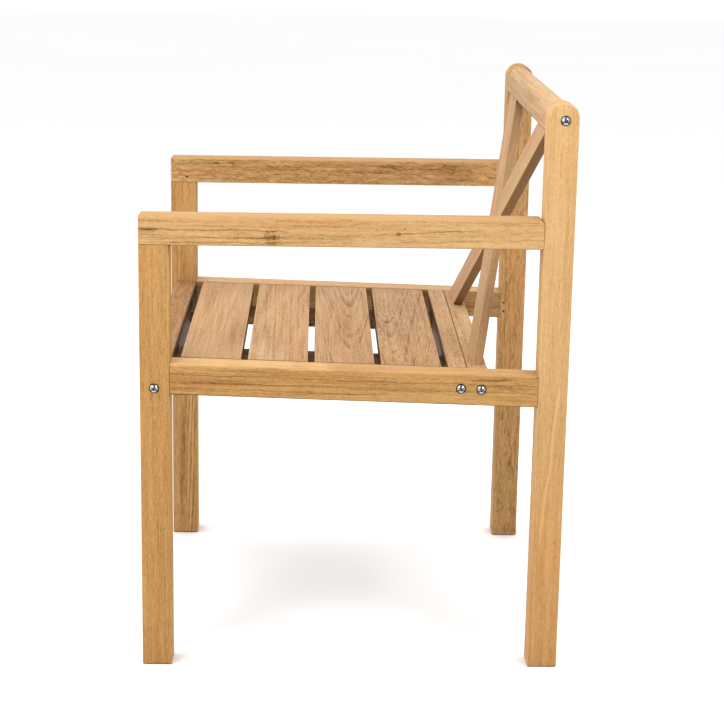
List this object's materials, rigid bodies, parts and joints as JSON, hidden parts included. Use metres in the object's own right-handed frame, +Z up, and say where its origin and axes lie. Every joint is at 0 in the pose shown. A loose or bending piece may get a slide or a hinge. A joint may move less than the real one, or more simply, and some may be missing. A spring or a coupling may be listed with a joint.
{
  "type": "garden armchair",
  "caption": "Teak garden armchair with square legs, flat armrests, a slatted seat and a crossed back, bolted together.",
  "frame": {"origin": "centre of the footprint, on the ground", "axes": "+X to the sitter's left, -Y to the front, +Z up"},
  "size_m": [0.628, 0.594, 0.8099],
  "materials": {
    "left_front_leg": "oiled teak, fine open grain",
    "left_back_leg": "oiled teak, fine open grain",
    "left_armrest": "oiled teak, fine open grain",
    "left_side_rail": "oiled teak, fine open grain",
    "right_front_leg": "oiled teak, fine open grain",
    "right_back_leg": "oiled teak, fine open grain",
    "right_armrest": "oiled teak, fine open grain",
    "right_side_rail": "oiled teak, fine open grain",
    "front_rail": "sanded teak, fine open grain",
    "rear_seat_rail": "sanded teak, fine open grain",
    "left_seat_batten": "sanded teak, fine open grain",
    "right_seat_batten": "sanded teak, fine open grain",
    "seat_slat_1": "sanded teak, fine open grain",
    "seat_slat_2": "sanded teak, fine open grain",
    "seat_slat_3": "sanded teak, fine open grain",
    "seat_slat_4": "sanded teak, fine open grain",
    "back_top_rail": "sanded teak, fine open grain",
    "back_bottom_rail": "sanded teak, fine open grain",
    "back_diagonal_left": "sanded teak, fine open grain",
    "back_diagonal_right": "sanded teak, fine open grain",
    "left_frame_bolts": "stainless button heads",
    "left_threaded_inserts": "zinc-plated",
    "left_locating_dowels": "beech",
    "left_tenon_pins": "dark hardwood, end grain",
    "right_frame_bolts": "stainless button heads",
    "right_threaded_inserts": "zinc-plated",
    "right_locating_dowels": "beech",
    "right_tenon_pins": "dark hardwood, end grain",
    "slat_screws": "stainless countersunk heads"
  },
  "bodies": {
    "root": {"left_front_leg": "left_front_leg", "left_back_leg": "left_back_leg", "left_armrest": "left_armrest", "left_side_rail": "left_side_rail", "right_front_leg": "right_front_leg", "right_back_leg": "right_back_leg", "right_armrest": "right_armrest", "right_side_rail": "right_side_rail", "front_rail": "front_rail", "rear_seat_rail": "rear_seat_rail", "left_seat_batten": "left_seat_batten", "right_seat_batten": "right_seat_batten", "seat_slat_1": "seat_slat_1", "seat_slat_2": "seat_slat_2", "seat_slat_3": "seat_slat_3", "seat_slat_4": "seat_slat_4", "back_top_rail": "back_top_rail", "back_bottom_rail": "back_bottom_rail", "back_diagonal_left": "back_diagonal_left", "back_diagonal_right": "back_diagonal_right", "left_frame_bolts": "left_frame_bolts", "left_threaded_inserts": "left_threaded_inserts", "left_locating_dowels": "left_locating_dowels", "left_tenon_pins": "left_tenon_pins", "right_frame_bolts": "right_frame_bolts", "right_threaded_inserts": "right_threaded_inserts", "right_locating_dowels": "right_locating_dowels", "right_tenon_pins": "right_tenon_pins", "slat_screws": "slat_screws"}
  },
  "joints": []
}
